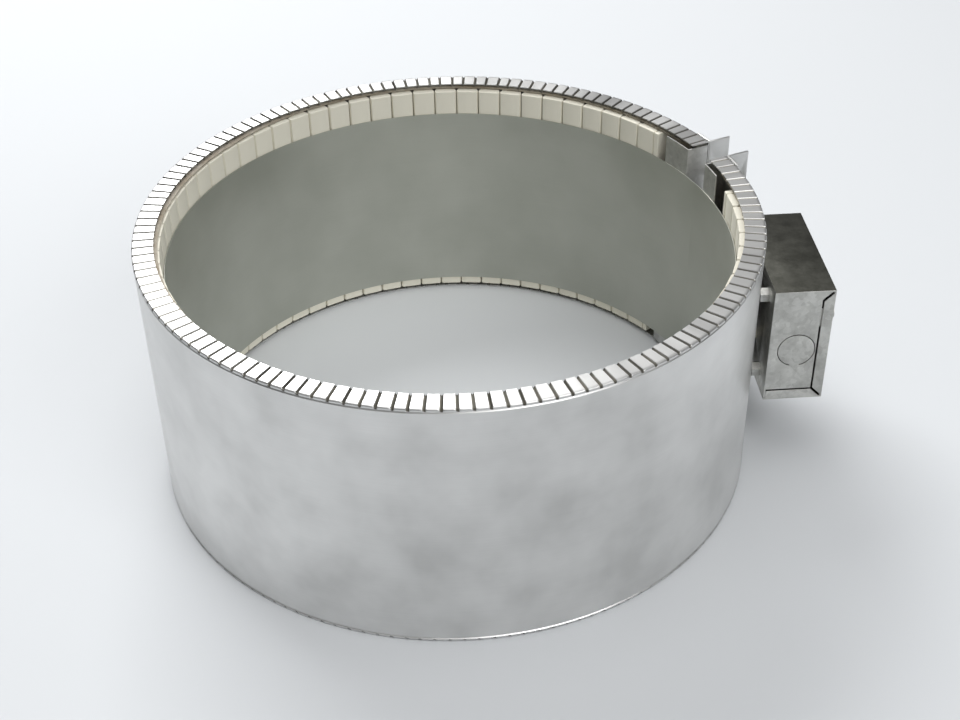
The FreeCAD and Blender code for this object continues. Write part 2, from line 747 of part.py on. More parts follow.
# ---------------------------------------------------------------- check and write

subParts = [
    "outer_jacket", "inner_liner", "heating_coil", "insulation_blanket",
    "end_channel_left", "end_channel_right", "clamp_ear_left", "clamp_ear_right",
    "clamp_screw_upper", "clamp_screw_lower", "clamp_washer_upper", "clamp_washer_lower",
    "clamp_nut_upper", "clamp_nut_lower",
    "terminal_box_body", "terminal_box_cover", "cover_tabs", "cover_screws",
    "box_studs", "box_spacers", "stud_nuts", "terminal_block", "terminal_poles",
    "terminal_nuts", "lead_bushings", "lead_wires",
] + ["knuckle_row_%d" % (row + 1) for row in range(count("knuckle_rows"))]

doc.recompute()
for thing in doc.Objects:
    if {"Invalid", "Error"} & set(thing.State):
        raise RuntimeError(thing.Name + " failed to recompute")
os.makedirs("parts", exist_ok=True)
for name in subParts:
    piece = doc.getObject(name)
    piece.Label = name
    if piece.Shape.isNull() or not piece.Shape.isValid():
        raise RuntimeError(name + " has no valid shape")
for name in subParts:
    doc.getObject(name).Shape.exportStep(os.path.join("parts", name + ".step"))
    print(name, len(doc.getObject(name).Shape.Solids), "solids")
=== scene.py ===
import bpy
import math
import random
from mathutils import Matrix, Vector, noise


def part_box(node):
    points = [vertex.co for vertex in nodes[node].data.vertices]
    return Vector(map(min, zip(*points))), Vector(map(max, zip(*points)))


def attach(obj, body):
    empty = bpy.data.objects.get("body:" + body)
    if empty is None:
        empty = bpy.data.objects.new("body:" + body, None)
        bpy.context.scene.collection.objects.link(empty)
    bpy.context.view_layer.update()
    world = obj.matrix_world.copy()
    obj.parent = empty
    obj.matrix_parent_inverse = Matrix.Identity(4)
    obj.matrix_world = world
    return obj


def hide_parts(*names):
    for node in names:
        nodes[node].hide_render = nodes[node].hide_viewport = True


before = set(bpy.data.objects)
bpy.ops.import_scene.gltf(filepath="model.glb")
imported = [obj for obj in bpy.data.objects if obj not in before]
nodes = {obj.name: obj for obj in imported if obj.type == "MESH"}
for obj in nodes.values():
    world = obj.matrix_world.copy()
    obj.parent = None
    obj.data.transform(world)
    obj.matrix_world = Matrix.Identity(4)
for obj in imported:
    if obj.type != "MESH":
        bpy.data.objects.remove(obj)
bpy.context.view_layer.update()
random.seed(11)

band = {  # shared places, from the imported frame
    "outer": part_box("outer_jacket")[1].x,
    "half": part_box("outer_jacket")[1].z,
    "liner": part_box("inner_liner")[1].x,
    "linerTop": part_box("inner_liner")[1].z,
    "linerBottom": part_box("inner_liner")[0].z,
    "matTop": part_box("knuckle_row_4")[1].z,
    "gapAzimuth": 20.5,
    "gapWidth": 0.022,
}


# ---- helpers

def polar(radius, degrees, z=0.0):
    angle = math.radians(degrees)
    return Vector((radius * math.cos(angle), radius * math.sin(angle), z))


def azimuthOf(point):
    return math.degrees(math.atan2(point.y, point.x)) % 360


def fromGap(point):
    # degrees round the band, counted from the middle of the gap
    return (azimuthOf(point) - band["gapAzimuth"]) % 360


def nothingSelected():
    if bpy.context.object and bpy.context.object.mode != "OBJECT":
        bpy.ops.object.mode_set(mode="OBJECT")
    bpy.ops.object.select_all(action="DESELECT")


def makeActive(piece):
    nothingSelected()
    piece.select_set(True)
    bpy.context.view_layer.objects.active = piece


def applyModifier(piece, kind, **settings):
    makeActive(piece)
    modifier = piece.modifiers.new(kind.lower(), kind)
    for key, value in settings.items():
        setattr(modifier, key, value)
    bpy.ops.object.modifier_apply(modifier=modifier.name)


def editAll(piece):
    makeActive(piece)
    bpy.ops.object.mode_set(mode="EDIT")
    bpy.ops.mesh.select_all(action="SELECT")


def mergeDoubles(piece, distance=0.00001):
    editAll(piece)
    bpy.ops.mesh.remove_doubles(threshold=distance)
    bpy.ops.object.mode_set(mode="OBJECT")


def closedShell(piece, distance):
    mergeDoubles(piece, distance)
    editAll(piece)
    bpy.ops.mesh.normals_make_consistent(inside=False)
    bpy.ops.object.mode_set(mode="OBJECT")


def smooth(piece, degrees):
    makeActive(piece)
    bpy.ops.object.shade_smooth_by_angle(angle=math.radians(degrees))


def traceProfile(name, points):
    # one vertex, extruded from point to point; leaves edit mode on with all selected
    nothingSelected()
    bpy.ops.mesh.primitive_plane_add(size=0.01, location=(0, 0, 0))
    piece = bpy.context.object
    piece.name = piece.data.name = name
    bpy.ops.object.mode_set(mode="EDIT")
    bpy.ops.mesh.select_all(action="SELECT")
    bpy.ops.mesh.merge(type="CENTER")
    bpy.ops.transform.translate(value=points[0])
    for a, b in zip(points, points[1:]):
        bpy.ops.mesh.extrude_vertices_move(TRANSFORM_OT_translate={"value": b - a})
    bpy.ops.mesh.select_all(action="SELECT")
    return piece


def spinRound(degrees, steps):
    # the operator turns clockwise seen from above, so the angle is negative
    bpy.ops.mesh.spin(steps=steps, angle=-math.radians(degrees), center=(0, 0, 0), axis=(0, 0, 1))


def faceTheSheet(piece, outwards):
    # a spun sheet has one winding: its upright faces are made to look out of the band, or into it
    upright = [face for face in piece.data.polygons if abs(face.normal.z) < 0.3]
    looks = sum(face.normal.dot(Vector((face.center.x, face.center.y, 0))) for face in upright)
    if (looks > 0) != outwards:
        editAll(piece)
        bpy.ops.mesh.flip_normals()
        bpy.ops.object.mode_set(mode="OBJECT")


def softenedCopy(node, name, width, segments=2, angle=30):
    # the node's own sheet form, with its folds and cut edges rounded
    copy = nodes[node].copy()
    copy.data = nodes[node].data.copy()
    for key in list(copy.keys()):
        del copy[key]
    copy.parent = None
    copy.name = copy.data.name = name
    bpy.context.scene.collection.objects.link(copy)
    copy.data.materials.clear()
    editAll(copy)
    bpy.ops.mesh.remove_doubles(threshold=0.000002)
    bpy.ops.mesh.dissolve_limited(angle_limit=math.radians(0.3))
    bpy.ops.object.mode_set(mode="OBJECT")
    applyModifier(copy, "BEVEL", width=width, segments=segments, limit_method="ANGLE",
                  angle_limit=math.radians(angle), use_clamp_overlap=True)
    smooth(copy, angle)
    return copy


def finished(piece, body, material, *replaced, slot=None):
    piece.data.materials.clear()
    piece.data.materials.append(material)
    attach(piece, body)
    if replaced:
        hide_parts(*replaced)
    return piece


# ---- materials

def addNode(material, kind, **settings):
    node = material.node_tree.nodes.new(kind)
    for key, value in settings.items():
        if key in node.inputs:
            node.inputs[key].default_value = value
        else:
            setattr(node, key, value)
    return node


def wire(material, source, output, target, inlet):
    material.node_tree.links.new(source.outputs[output], target.inputs[inlet])


def newMaterial(name, **sockets):
    material = bpy.data.materials.new(name)
    material.use_nodes = True
    shader = material.node_tree.nodes["Principled BSDF"]
    for key, value in sockets.items():
        shader.inputs[key.replace("_", " ")].default_value = value
    return material, shader


def objectPlace(material, scale=(1, 1, 1), turn=(0, 0, 0)):
    coordinates = addNode(material, "ShaderNodeTexCoord")
    mapping = addNode(material, "ShaderNodeMapping")
    mapping.inputs["Scale"].default_value = scale
    mapping.inputs["Rotation"].default_value = turn
    wire(material, coordinates, "Object", mapping, "Vector")
    return mapping


def roundPlace(material, scale=(1, 1, 1)):
    # unrolled sheet: azimuth from the gap, radius and height, in metres along the sheet
    turned = objectPlace(material, turn=(0, 0, math.radians(180 - band["gapAzimuth"])))
    parts = addNode(material, "ShaderNodeSeparateXYZ")
    wire(material, turned, "Vector", parts, "Vector")
    angle = addNode(material, "ShaderNodeMath", operation="ARCTAN2")
    wire(material, parts, "Y", angle, 0)
    wire(material, parts, "X", angle, 1)
    arc = addNode(material, "ShaderNodeMath", operation="MULTIPLY")
    arc.inputs[1].default_value = band["outer"]
    wire(material, angle, "Value", arc, 0)
    unrolled = addNode(material, "ShaderNodeCombineXYZ")
    wire(material, arc, "Value", unrolled, "X")
    wire(material, parts, "Z", unrolled, "Y")
    mapping = addNode(material, "ShaderNodeMapping")
    mapping.inputs["Scale"].default_value = scale
    wire(material, unrolled, "Vector", mapping, "Vector")
    return mapping


def mottle(material, place, scale, detail=4.0, roughness=0.55):
    texture = addNode(material, "ShaderNodeTexNoise")
    texture.inputs["Scale"].default_value = scale
    texture.inputs["Detail"].default_value = detail
    texture.inputs["Roughness"].default_value = roughness
    wire(material, place, "Vector", texture, "Vector")
    return texture


def ramp(material, source, output, stops):
    node = addNode(material, "ShaderNodeValToRGB")
    elements = node.color_ramp.elements
    while len(elements) < len(stops):
        elements.new(0.5)
    for element, (position, color) in zip(elements, stops):
        element.position = position
        element.color = (*color, 1)
    wire(material, source, output, node, "Fac")
    return node


def grey(value):
    return (value, value, value)


def mixColors(material, blend, factor, first, second):
    node = addNode(material, "ShaderNodeMix", data_type="RGBA", blend_type=blend)
    if isinstance(factor, float):
        node.inputs[0].default_value = factor
    else:
        wire(material, factor[0], factor[1], node, 0)
    for index, source in ((6, first), (7, second)):
        if isinstance(source, tuple):
            node.inputs[index].default_value = (*source, 1)
        else:
            material.node_tree.links.new(source.outputs[0 if source.bl_idname != "ShaderNodeMix" else 2],
                                         node.inputs[index])
    return node


def bumpFrom(material, shader, source, output, strength, distance, under=None):
    node = addNode(material, "ShaderNodeBump")
    node.inputs["Strength"].default_value = strength
    node.inputs["Distance"].default_value = distance
    wire(material, source, output, node, "Height")
    if under:
        wire(material, under, "Normal", node, "Normal")
    wire(material, node, "Normal", shader, "Normal")
    return node


def rolledSteel(name, look):
    # satin sheet: soft blotches, and rolling lines along the strip
    material, shader = newMaterial(name, Metallic=look["metallic"])
    sheet = roundPlace(material)
    blotches = mottle(material, sheet, look["blotchScale"], 3.0, 0.5)
    tint = ramp(material, blotches, "Fac",
                [(0.32, look["dark"]), (0.5, look["middle"]), (0.68, look["light"])])
    lines = roundPlace(material, scale=(6, 420, 1))
    rolling = mottle(material, lines, 3.0, 3.0, 0.6)
    faint = ramp(material, rolling, "Fac", [(0.3, grey(0.94)), (0.7, grey(1.0))])
    color = mixColors(material, "MULTIPLY", look["lineStrength"], tint, faint)
    if "fluteShade" in look:
        # painted shade: the bottoms of the pressed flutes are darkened
        flutes = addNode(material, "ShaderNodeAttribute", attribute_name="groove")
        fluteShade = ramp(material, flutes, "Fac", [(0.03, grey(1.0)), (0.35, look["fluteShade"])])
        color = mixColors(material, "MULTIPLY", 1.0, color, fluteShade)
    material.node_tree.links.new(color.outputs[2], shader.inputs["Base Color"])
    satin = ramp(material, blotches, "Fac", [(0.3, grey(look["roughLow"])), (0.7, grey(look["roughHigh"]))])
    wire(material, satin, "Color", shader, "Roughness")
    waves = mottle(material, sheet, look["waveScale"], 2.0, 0.5)
    sway = bumpFrom(material, shader, waves, "Fac", 0.35, look["waveDepth"])
    bumpFrom(material, shader, rolling, "Fac", 0.08, 0.0001, sway)
    return material


# the colour for the flute bottoms is painted shade, darker than the sheet
jacketLook = {"metallic": 0.9, "dark": (0.60, 0.60, 0.59), "middle": (0.69, 0.69, 0.68),
              "light": (0.76, 0.76, 0.75), "roughLow": 0.30, "roughHigh": 0.42,
              "blotchScale": 22.0, "lineStrength": 0.5,
              "waveScale": 14.0, "waveDepth": 0.0012, "fluteShade": (0.30, 0.29, 0.26)}
linerLook = {"metallic": 0.75, "dark": (0.43, 0.44, 0.39), "middle": (0.48, 0.49, 0.44),
             "light": (0.53, 0.54, 0.49), "roughLow": 0.42, "roughHigh": 0.52,
             "blotchScale": 12.0, "lineStrength": 0.4,
             "waveScale": 9.0, "waveDepth": 0.0015}


def galvanised(name, look):
    # plated sheet with dull spangle and dark handling marks
    material, shader = newMaterial(name, Metallic=look["metallic"])
    place = objectPlace(material)
    spangle = addNode(material, "ShaderNodeTexVoronoi", feature="F1")
    spangle.inputs["Scale"].default_value = look["spangleScale"]
    wire(material, place, "Vector", spangle, "Vector")
    patch = ramp(material, spangle, "Color", [(0.2, look["dark"]), (0.8, look["light"])])
    marks = mottle(material, place, look["markScale"], 5.0, 0.65)
    stain = ramp(material, marks, "Fac", [(0.38, grey(look["stain"])), (0.62, grey(1.0))])
    color = mixColors(material, "MULTIPLY", 1.0, patch, stain)
    if "topDarkReflection" in look:
        # painted reflection: the faces that look up get a dark mottled reflection in their colour
        facing = addNode(material, "ShaderNodeTexCoord")
        parts = addNode(material, "ShaderNodeSeparateXYZ")
        wire(material, facing, "Normal", parts, "Vector")
        upward = ramp(material, parts, "Z", [(0.80, grey(0.0)), (0.95, grey(1.0))])
        reflectionMottle = mottle(material, place, look["reflectionMottleScale"], 6.0, 0.7)
        paintedReflection = ramp(material, reflectionMottle, "Fac", [(0.35, look["topDarkReflection"]), (0.70, look["topPaleReflection"])])
        color = mixColors(material, "MIX", (upward, "Color"), color, paintedReflection)
    material.node_tree.links.new(color.outputs[2], shader.inputs["Base Color"])
    satin = ramp(material, marks, "Fac", [(0.3, grey(look["roughHigh"])), (0.7, grey(look["roughLow"]))])
    wire(material, satin, "Color", shader, "Roughness")
    bumpFrom(material, shader, marks, "Fac", 0.12, 0.0004)
    return material


# the top colours paint a dark reflection onto the box's upward faces
boxLook = {"metallic": 0.9, "dark": (0.56, 0.56, 0.53), "light": (0.66, 0.66, 0.63), "stain": 0.78,
           "spangleScale": 320.0, "markScale": 60.0, "roughLow": 0.30, "roughHigh": 0.46,
           "topDarkReflection": (0.085, 0.085, 0.072), "topPaleReflection": (0.15, 0.15, 0.13), "reflectionMottleScale": 110.0}
zincLook = {"metallic": 1.0, "dark": (0.55, 0.55, 0.52), "light": (0.64, 0.64, 0.62), "stain": 0.85,
            "spangleScale": 500.0, "markScale": 140.0, "roughLow": 0.28, "roughHigh": 0.42}
endLook = {"metallic": 0.9, "dark": (0.55, 0.55, 0.53), "light": (0.63, 0.63, 0.61), "stain": 0.80,
           "spangleScale": 300.0, "markScale": 50.0, "roughLow": 0.32, "roughHigh": 0.48}
brassLook = {"metallic": 1.0, "dark": (0.60, 0.46, 0.24), "light": (0.70, 0.55, 0.30), "stain": 0.85,
             "spangleScale": 600.0, "markScale": 160.0, "roughLow": 0.30, "roughHigh": 0.45}
wireLook = {"metallic": 0.8, "dark": (0.24, 0.22, 0.20), "light": (0.33, 0.30, 0.27), "stain": 0.80,
            "spangleScale": 700.0, "markScale": 200.0, "roughLow": 0.45, "roughHigh": 0.60}


def firedCeramic(name, look):
    # unglazed body: each knuckle its own tone, a painted highlight on the sharp edges, fine grain and specks
    material, shader = newMaterial(name, Roughness=look["roughness"])
    shader.inputs["Specular IOR Level"].default_value = look["specular"]
    place = objectPlace(material)
    geometry = addNode(material, "ShaderNodeNewGeometry")
    tone = ramp(material, geometry, "Random Per Island", [(0.0, look["dark"]), (1.0, look["light"])])
    clouds = mottle(material, place, look["cloudScale"], 4.0, 0.6)
    shade = ramp(material, clouds, "Fac", [(0.35, grey(0.90)), (0.65, grey(1.0))])
    color = mixColors(material, "MULTIPLY", 1.0, tone, shade)
    grain = mottle(material, place, look["grainScale"], 3.0, 0.7)
    specks = ramp(material, grain, "Fac", [(0.26, look["speck"]), (0.33, grey(1.0))])
    speckled = mixColors(material, "MULTIPLY", 0.6, color, specks)
    # painted highlight: pointy edges are paled towards the edge colour
    edgeHighlightMask = ramp(material, geometry, "Pointiness", [(0.50, grey(0.0)), (0.56, grey(1.0))])
    highlightedEdges = mixColors(material, "MIX", (edgeHighlightMask, "Color"), speckled, look["edge"])
    material.node_tree.links.new(highlightedEdges.outputs[2], shader.inputs["Base Color"])
    bumpFrom(material, shader, grain, "Fac", 0.25, 0.0003)
    return material


# edge is the colour of the painted highlight on the knuckles' edges
ceramicLook = {"roughness": 0.75, "specular": 0.35, "dark": (0.66, 0.62, 0.50), "light": (0.74, 0.70, 0.58),
               "speck": (0.55, 0.45, 0.33), "edge": (0.84, 0.81, 0.70),
               "cloudScale": 60.0, "grainScale": 900.0}


def looseFibre(name, look):
    # ceramic fibre: matted strands that run round the band
    material, shader = newMaterial(name, Roughness=0.95)
    shader.inputs["Specular IOR Level"].default_value = 0.1
    shader.inputs["Sheen Weight"].default_value = 0.3
    strands = roundPlace(material, scale=(1, 5, 1))
    matted = mottle(material, strands, look["strandScale"], 6.0, 0.7)
    clumps = mottle(material, objectPlace(material), look["clumpScale"], 4.0, 0.6)
    color = ramp(material, matted, "Fac", [(0.3, look["dark"]), (0.5, look["middle"]), (0.7, look["light"])])
    shade = ramp(material, clumps, "Fac", [(0.35, look["burnt"]), (0.6, grey(1.0))])
    mixed = mixColors(material, "MULTIPLY", 1.0, color, shade)
    material.node_tree.links.new(mixed.outputs[2], shader.inputs["Base Color"])
    soft = bumpFrom(material, shader, clumps, "Fac", 0.6, 0.002)
    bumpFrom(material, shader, matted, "Fac", 0.5, 0.0008, soft)
    return material


fibreLook = {"strandScale": 320.0, "clumpScale": 55.0,
             "dark": (0.33, 0.29, 0.23), "middle": (0.46, 0.42, 0.35),
             "light": (0.56, 0.52, 0.44), "burnt": (0.72, 0.66, 0.58)}

jacketSteel = rolledSteel("jacketSteel", jacketLook)
linerSteel = rolledSteel("linerSteel", linerLook)
endSteel = galvanised("endSteel", endLook)
boxSteel = galvanised("boxSteel", boxLook)
zincPlate = galvanised("zincPlate", zincLook)
brass = galvanised("brass", brassLook)
darkWire = galvanised("darkWire", wireLook)
ceramic = firedCeramic("ceramic", ceramicLook)
fibre = looseFibre("fibre", fibreLook)
print("materials made")


# ---- fluted jacket

jacket = {
    "flutes": 138,
    "stations": 8,          # steps round the rim for each flute
    "sheet": 0.0007,
    "flange": 0.0135,       # width
    "edge": 0.0012,         # first strip of the flange, from its inner edge
    "corner": 0.0012,       # outer radius of the fold
    "flute": 0.0015,        # depth
    "runOut": 0.0019,       # where the flutes have run out, below the rim
    "pinch": 0.0004,        # how far a flute draws the corner in
    "crease": 0.00055,      # depth of the line pressed in under the flutes
    "creaseWidth": 0.0013,
    "wallRows": 6,
    "dent": 0.0002,         # depth of the shallow dents from handling
    "dentScale": 9.0,
    "uneven": 0.25,         # share by which a flute's depth varies
    "drift": 0.06,          # share of the pitch by which a flute wanders
}


def gapHalfDegrees(radius):
    return math.degrees(math.asin(band["gapWidth"] / 2 / radius))


def rimProfile(sizes):
    # from the flange's inner edge out and down to the wall, on the upper rim
    outer, top = band["outer"], band["half"]
    corner = sizes["corner"]
    inner = outer - sizes["flange"]
    points = [(inner, top), (inner + sizes["edge"], top), (outer - 0.5 * sizes["flange"], top),
              (outer - 2 * corner, top)]
    for step in range(4):
        angle = math.radians(90 - 30 * step)
        points.append((outer - corner + corner * math.cos(angle), top - corner + corner * math.sin(angle)))
    low = top - sizes["runOut"]
    points.append((outer, low))
    points.append((outer - sizes["crease"], low - 0.4 * sizes["creaseWidth"]))
    points.append((outer, low - sizes["creaseWidth"]))
    return points


def buildJacket(sizes):
    upper = rimProfile(sizes)
    lowest = upper[-1][1]
    rows = sizes["wallRows"]
    wall = [(band["outer"], lowest * (1 - 2 * (row + 1) / (rows + 1))) for row in range(rows)]
    outline = upper + wall + [(r, -z) for r, z in reversed(upper)]
    half = gapHalfDegrees(band["outer"])
    start = band["gapAzimuth"] + half
    span = 360 - 2 * half
    piece = traceProfile("outerJacket", [polar(r, start, z) for r, z in outline])
    spinRound(span, sizes["flutes"] * sizes["stations"])
    bpy.ops.object.mode_set(mode="OBJECT")
    pitch = span / sizes["flutes"]
    depths = [1 + random.uniform(-sizes["uneven"], sizes["uneven"]) for _ in range(sizes["flutes"])]
    drift = [random.uniform(-sizes["drift"], sizes["drift"]) * pitch for _ in range(sizes["flutes"])]
    middle = sizes["stations"] // 2
    fluteEnd = band["half"] - sizes["runOut"]
    groove = piece.data.attributes.new("groove", "FLOAT", "POINT")
    for vertex in piece.data.vertices:
        point = vertex.co
        turned = (azimuthOf(point) - start + 0.01) % 360
        flute = min(int(turned / pitch), sizes["flutes"] - 1)
        station = int(round((turned - flute * pitch) / pitch * sizes["stations"]))
        out = Vector((point.x, point.y, 0)).normalized()
        side = 1 if point.z > 0 else -1
        if abs(point.z) > fluteEnd + 0.00001:
            share = min((abs(point.z) - fluteEnd) / sizes["runOut"], 1.0)
            if station == middle:
                point.z -= side * sizes["flute"] * depths[flute] * share
                if point.dot(out) > band["outer"] - sizes["corner"] - 0.0001:
                    point -= out * sizes["pinch"]
                # the flute bottom is marked for the painted shade in the jacket's colour
                groove.data[vertex.index].value = 1.0
            if abs(station - middle) <= 1:
                # each flute wanders a little along the rim
                vertex.co = Matrix.Rotation(math.radians(drift[flute]), 3, "Z") @ point
        elif abs(point.z) < lowest - sizes["sheet"]:
            scale = sizes["dentScale"]
            swell = noise.noise(point * scale) + 0.5 * noise.noise(point * scale * 7 / 3)
            vertex.co = point + out * sizes["dent"] * (swell - 1.0)
    # the two ends stand parallel, either side of the gap
    turn = Matrix.Rotation(math.radians(-band["gapAzimuth"]), 3, "Z")
    back = turn.inverted()
    for vertex in piece.data.vertices:
        flat = turn @ vertex.co
        if flat.x > 0 and abs(flat.y) < band["gapWidth"] / 2:
            flat.y = math.copysign(band["gapWidth"] / 2, flat.y)
            vertex.co = back @ flat
    mergeDoubles(piece)
    faceTheSheet(piece, outwards=True)
    applyModifier(piece, "SOLIDIFY", thickness=sizes["sheet"], offset=-1)
    smooth(piece, 32)
    return finished(piece, "heater", jacketSteel, "outer_jacket", slot="jacket_steel")


outerJacket = buildJacket(jacket)
print("jacket", len(outerJacket.data.polygons), "faces")


# ---- liner

linerSizes = {"sheet": 0.0005, "steps": 240, "rows": 8, "seam": 0.003, "seamAzimuth": 270.0,
              "wave": 0.00012, "waveScale": 14.0}


def buildLiner(sizes):
    outside = band["liner"]
    inside = outside - sizes["sheet"]
    opening = math.degrees(sizes["seam"] / inside)
    low, high = band["linerBottom"], band["linerTop"]
    heights = [low + (high - low) * row / sizes["rows"] for row in range(sizes["rows"] + 1)]
    start = sizes["seamAzimuth"] + opening / 2
    piece = traceProfile("innerLiner", [polar(inside, start, z) for z in heights])
    spinRound(360 - opening, sizes["steps"])
    bpy.ops.object.mode_set(mode="OBJECT")
    for vertex in piece.data.vertices:
        out = Vector((vertex.co.x, vertex.co.y, 0)).normalized()
        vertex.co += out * sizes["wave"] * noise.noise(vertex.co * sizes["waveScale"])
    mergeDoubles(piece)
    faceTheSheet(piece, outwards=False)
    applyModifier(piece, "SOLIDIFY", thickness=sizes["sheet"], offset=-1)
    smooth(piece, 40)
    return finished(piece, "heater", linerSteel, "inner_liner", slot="liner_steel")


innerLiner = buildLiner(linerSizes)
print("liner", len(innerLiner.data.polygons), "faces")


# ---- ceramic knuckles

knuckles = {"bevel": 0.0005, "columns": 66, "endAngle": 15.0, "pitch": 5.0, "depth": 0.012,
            "wander": 0.00018, "tilt": 0.5}  # tilt in degrees


def buildRow(number, sizes):
    piece = softenedCopy("knuckle_row_%d" % number, "knuckleRow%d" % number, sizes["bevel"], 2, 25)
    # no two knuckles are threaded quite alike: each one leans and turns a little
    moves = {}
    for column in range(-1, sizes["columns"] + 1):
        azimuth = band["gapAzimuth"] + sizes["endAngle"] + (column + 0.5) * sizes["pitch"]
        center = polar(band["liner"] + sizes["depth"] / 2, azimuth)
        turn = Matrix.Rotation(math.radians(random.uniform(-sizes["tilt"], sizes["tilt"])), 4, "Z")
        shift = center.normalized() * random.uniform(0, sizes["wander"])
        shift.z = random.uniform(-sizes["wander"], sizes["wander"]) / 2
        moves[column] = Matrix.Translation(center + shift) @ turn @ Matrix.Translation(-center)
    for vertex in piece.data.vertices:
        column = math.floor((fromGap(vertex.co) - sizes["endAngle"]) / sizes["pitch"])
        vertex.co = moves[min(max(column, -1), sizes["columns"])] @ vertex.co
    return finished(piece, "heater", ceramic, "knuckle_row_%d" % number, slot="ceramic")


knuckleRows = [buildRow(number, knuckles) for number in (1, 2, 3, 4)]
print("knuckles", sum(len(row.data.polygons) for row in knuckleRows), "faces")


# ---- fibre blanket

blanket = {"back": 0.0006, "steps": 300, "endAngle": 8.0, "lip": 0.0030, "shag": 0.0006,
           "shagScale": 260.0, "fullFrom": 100.0, "fullTo": 325.0, "fade": 20.0}


def buildBlanket(sizes):
    low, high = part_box("insulation_blanket")
    outer = high.y - 0.0002
    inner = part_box("knuckle_row_4")[1].y + sizes["back"]
    top = high.z - 0.0001
    lipBottom = band["matTop"] + 0.0004
    mouth = band["outer"] - jacket["flange"]
    outline = [(inner, low.z), (inner, 0.0), (inner, lipBottom - 0.002), (inner - 0.001, lipBottom),
               (mouth + 0.004, lipBottom), (mouth, lipBottom), (mouth - 0.0016, lipBottom + 0.0003),
               (mouth - 0.0020, lipBottom + 0.0012), (mouth - 0.0012, top - 0.0002), (mouth + 0.001, top),
               (mouth + 0.005, top), (outer - 0.001, top), (outer, top - 0.001), (outer, 0.0), (outer, low.z)]
    start = band["gapAzimuth"] + sizes["endAngle"]
    span = 360 - 2 * sizes["endAngle"]
    piece = traceProfile("insulationBlanket", [polar(r, start, z) for r, z in outline + [outline[0]]])
    spinRound(span, sizes["steps"])
    bpy.ops.mesh.select_all(action="SELECT")
    bpy.ops.mesh.remove_doubles(threshold=0.00001)
    bpy.ops.mesh.select_all(action="DESELECT")
    bpy.ops.mesh.select_non_manifold()
    bpy.ops.mesh.edge_face_add()
    bpy.ops.object.mode_set(mode="OBJECT")
    for vertex in piece.data.vertices:
        point = vertex.co
        radius = math.hypot(point.x, point.y)
        if point.z < lipBottom - 0.001 or radius > mouth + 0.003:
            continue
        out = Vector((point.x, point.y, 0)).normalized()
        around = fromGap(point)
        # the lip draws back towards the ends of the band
        full = (min(max((around - sizes["fullFrom"]) / sizes["fade"], 0), 1)
                * min(max((sizes["fullTo"] - around) / sizes["fade"], 0), 1))
        vertex.co += out * (sizes["lip"] * (1 - full))
        vertex.co += out * sizes["shag"] * noise.noise(point * sizes["shagScale"])
        vertex.co.z += 0.4 * sizes["shag"] * noise.noise(point * 300.0 + Vector((3, 5, 7)))
    closedShell(piece, 0.000001)
    smooth(piece, 60)
    finished(piece, "heater", fibre, "insulation_blanket", slot="ceramic_fibre")
    return piece


insulationBlanket = buildBlanket(blanket)
print("blanket", len(insulationBlanket.data.polygons), "faces")


# ---- folded sheets: end channels, ears and the terminal box

folded = {
    "end_channel_left": ("endChannelLeft", 0.0004, endSteel, "jacket_steel"),
    "end_channel_right": ("endChannelRight", 0.0004, endSteel, "jacket_steel"),
    "clamp_ear_left": ("clampEarLeft", 0.0005, jacketSteel, "jacket_steel"),
    "clamp_ear_right": ("clampEarRight", 0.0005, jacketSteel, "jacket_steel"),
    "terminal_box_body": ("terminalBoxBody", 0.0004, boxSteel, "box_steel"),
    "terminal_box_cover": ("terminalBoxCover", 0.0004, boxSteel, "box_steel"),
    "cover_tabs": ("coverTabs", 0.0003, boxSteel, "box_steel"),
    "terminal_block": ("terminalBlock", 0.0008, ceramic, "ceramic"),
}
for node, (name, width, material, slotName) in folded.items():
    piece = softenedCopy(node, name, width)
    finished(piece, "heater", material, node, slot=slotName)
print("folded sheets made")


# ---- plain turned parts keep their solids

kept = {
    "clamp_screw_upper": zincPlate, "clamp_screw_lower": zincPlate, "clamp_washer_upper": zincPlate,
    "clamp_washer_lower": zincPlate, "clamp_nut_upper": zincPlate, "clamp_nut_lower": zincPlate,
    "cover_screws": zincPlate, "box_studs": zincPlate, "box_spacers": zincPlate, "stud_nuts": zincPlate,
    "terminal_poles": brass, "terminal_nuts": brass, "lead_bushings": ceramic, "lead_wires": darkWire,
    "heating_coil": darkWire,
}
for node, material in kept.items():
    mesh = nodes[node].data
    if not mesh.materials:
        mesh.materials.append(material)
    for slotIndex in range(len(nodes[node].material_slots)):
        nodes[node].material_slots[slotIndex].material = material
print("turned parts finished")


# ---- studio

def stageMaterial(name, color, roughness):
    material, shader = newMaterial(name, Roughness=roughness)
    shader.inputs["Base Color"].default_value = (*color, 1)
    shader.inputs["Specular IOR Level"].default_value = 0.15
    return material


studio = {"floorSize": 12.0, "floorColor": (0.66, 0.68, 0.70),
          "skyLow": 0.12, "skyHigh": 0.55, "skyPower": 1.0}
lamps = {
    # azimuth and height in degrees, distance and width in metres, power in watts
    "keyLamp": {"azimuth": 112.0, "height": 44.0, "distance": 2.6,
                "width": 1.7, "length": 1.5, "power": 56.0},
    "frontLamp": {"azimuth": 300.0, "height": 40.0, "distance": 3.0,
                  "width": 2.0, "length": 1.6, "power": 36.0},
    "topLamp": {"azimuth": 250.0, "height": 82.0, "distance": 2.6,
                "width": 1.6, "length": 1.6, "power": 16.0},
}


def buildFloor(sizes):
    nothingSelected()
    bpy.ops.mesh.primitive_plane_add(size=sizes["floorSize"], location=(0, 0, -band["half"]))
    floor = bpy.context.object
    floor.name = "studioFloor"
    floor.data.materials.append(stageMaterial("floorPaint", sizes["floorColor"], 0.8))


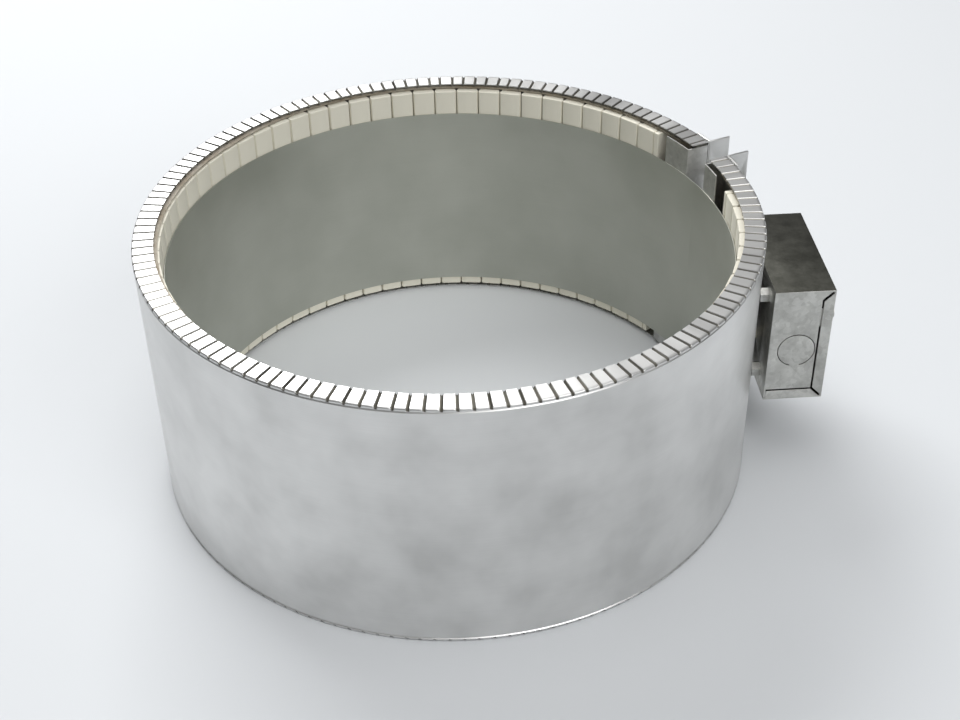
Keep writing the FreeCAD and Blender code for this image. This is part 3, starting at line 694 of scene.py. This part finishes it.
def buildSky(sizes):
    world = bpy.data.worlds.new("studioSky")
    bpy.context.scene.world = world
    world.use_nodes = True
    tree = world.node_tree
    background = tree.nodes["Background"]
    coordinates = tree.nodes.new("ShaderNodeTexCoord")
    parts = tree.nodes.new("ShaderNodeSeparateXYZ")
    colors = tree.nodes.new("ShaderNodeValToRGB")
    tree.links.new(coordinates.outputs["Generated"], parts.inputs["Vector"])
    tree.links.new(parts.outputs["Z"], colors.inputs["Fac"])
    tree.links.new(colors.outputs["Color"], background.inputs["Color"])
    elements = colors.color_ramp.elements
    elements[0].position, elements[1].position = 0.45, 0.95
    elements[0].color = (*grey(sizes["skyLow"]), 1)
    elements[1].color = (*grey(sizes["skyHigh"]), 1)
    background.inputs["Strength"].default_value = sizes["skyPower"]


def buildLamp(name, sizes):
    height = math.radians(sizes["height"])
    place = polar(math.cos(height), sizes["azimuth"], math.sin(height))
    data = bpy.data.lights.new(name, "AREA")
    data.shape = "RECTANGLE"
    data.size, data.size_y = sizes["width"], sizes["length"]
    data.energy = sizes["power"]
    lamp = bpy.data.objects.new(name, data)
    lamp.location = place * sizes["distance"]
    lamp.rotation_euler = (-place).to_track_quat("-Z", "Y").to_euler()
    bpy.context.scene.collection.objects.link(lamp)


view = {"azimuth": 268.0, "elevation": 35.30, "distance": 1.00513, "lens": 55.96,
        "pan": 1.005, "tilt": -1.248, "roll": -1.794}


def buildCamera(aim):
    elevation, azimuth = math.radians(aim["elevation"]), math.radians(aim["azimuth"])
    place = Vector((math.cos(elevation) * math.cos(azimuth), math.cos(elevation) * math.sin(azimuth),
                    math.sin(elevation))) * aim["distance"]
    forward = -place.normalized()
    right = Vector((-math.sin(azimuth), math.cos(azimuth), 0))
    up = right.cross(forward)
    pan, tilt, roll = (math.radians(aim[key]) for key in ("pan", "tilt", "roll"))
    forward, right = (math.cos(pan) * forward + math.sin(pan) * right,
                      math.cos(pan) * right - math.sin(pan) * forward)
    forward, up = (math.cos(tilt) * forward + math.sin(tilt) * up,
                   math.cos(tilt) * up - math.sin(tilt) * forward)
    right, up = math.cos(roll) * right + math.sin(roll) * up, math.cos(roll) * up - math.sin(roll) * right
    data = bpy.data.cameras.new("camera")
    data.lens, data.sensor_width = aim["lens"], 36.0
    camera = bpy.data.objects.new("camera", data)
    camera.matrix_world = Matrix.Translation(place) @ Matrix((right, up, -forward)).transposed().to_4x4()
    bpy.context.scene.collection.objects.link(camera)
    bpy.context.scene.camera = camera


buildFloor(studio)
buildSky(studio)
for lampName, lampLook in lamps.items():
    buildLamp(lampName, lampLook)
buildCamera(view)
bpy.context.scene.view_settings.view_transform = "Standard"
print("studio set")
